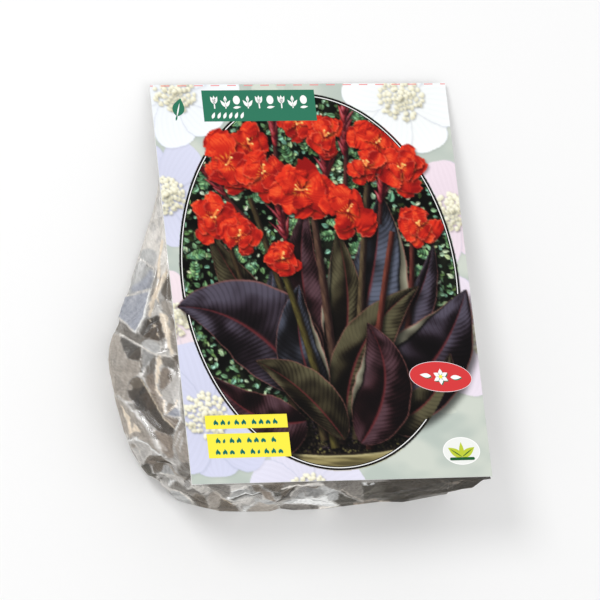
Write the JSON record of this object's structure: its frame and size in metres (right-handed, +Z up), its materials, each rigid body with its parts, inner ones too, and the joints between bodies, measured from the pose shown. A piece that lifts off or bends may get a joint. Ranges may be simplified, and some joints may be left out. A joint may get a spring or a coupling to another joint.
{
  "type": "prepacked bag of canna rhizomes",
  "caption": "Clear gusseted film bag of canna rhizomes in peat behind a stiff printed card, lying on its flat back.",
  "frame": {"origin": "on the floor, under the middle of the packet's outline", "axes": "+X towards the card's right edge, +Y towards the packet's sealed top end, +Z up, away from the flat back"},
  "size_m": [0.183, 0.2078, 0.0487],
  "materials": {
    "card": "printed and laminated paper board, satin",
    "film": "clear crumpled packing film",
    "rhizome": "dry ringed skin, matt",
    "peat": "loose peat with wood shavings, matt"
  },
  "bodies": {
    "root": {"front_card": "card", "bag_film": "film", "rhizome_1": "rhizome", "rhizome_2": "rhizome", "rhizome_3": "rhizome", "peat_fill": "peat"}
  },
  "joints": []
}
